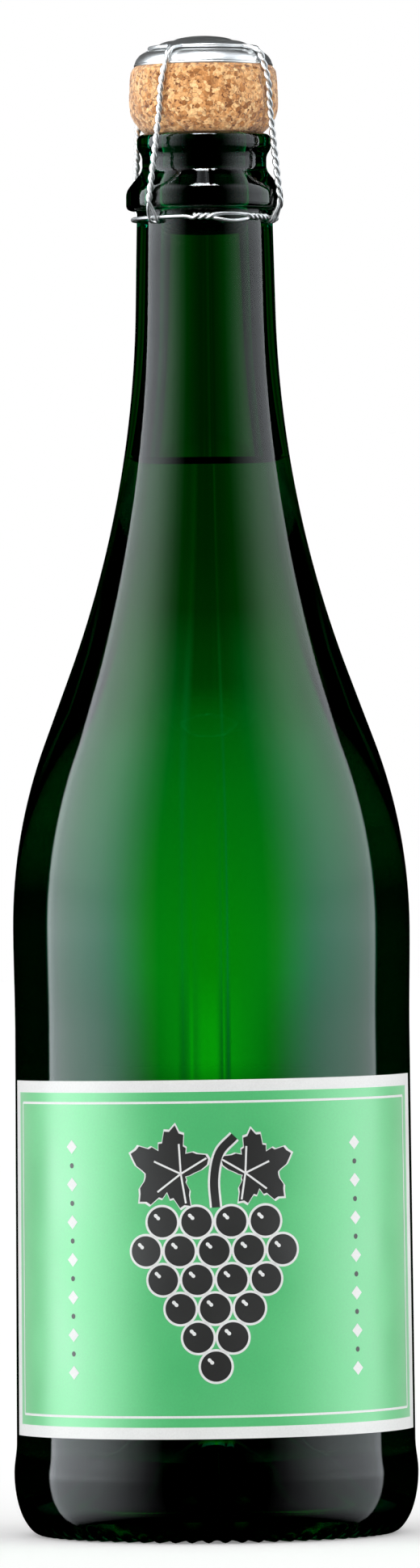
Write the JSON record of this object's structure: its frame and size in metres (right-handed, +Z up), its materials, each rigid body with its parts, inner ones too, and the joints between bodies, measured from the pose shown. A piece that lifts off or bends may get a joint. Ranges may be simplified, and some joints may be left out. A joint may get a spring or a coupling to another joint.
{
  "type": "sparkling wine bottle",
  "caption": "Corked bottle of sparkling wine: dark green glass with a punt, pressed-granule cork under a domed metal cap and wire hood, wine inside and a paper label round the front.",
  "frame": {"origin": "centre of the ring that the bottle stands on", "axes": "+Z up along the bottle's axis, label facing -Y, +X to the right of someone who faces the label"},
  "size_m": [0.087, 0.087, 0.3222],
  "materials": {
    "green_glass": "polished, deep green",
    "wine": "clear pale straw liquid",
    "cork": "pressed cork granules with pits",
    "cap_metal": "bright tinplate",
    "wire": "bright galvanised wire",
    "label_paper": "satin printed paper, green field and white border"
  },
  "bodies": {
    "root": {"bottle_glass": "green_glass", "wine": "wine", "cork": "cork", "cap": "cap_metal", "wire_hood": "wire", "belt_wire": "wire", "label": "label_paper"}
  },
  "joints": []
}
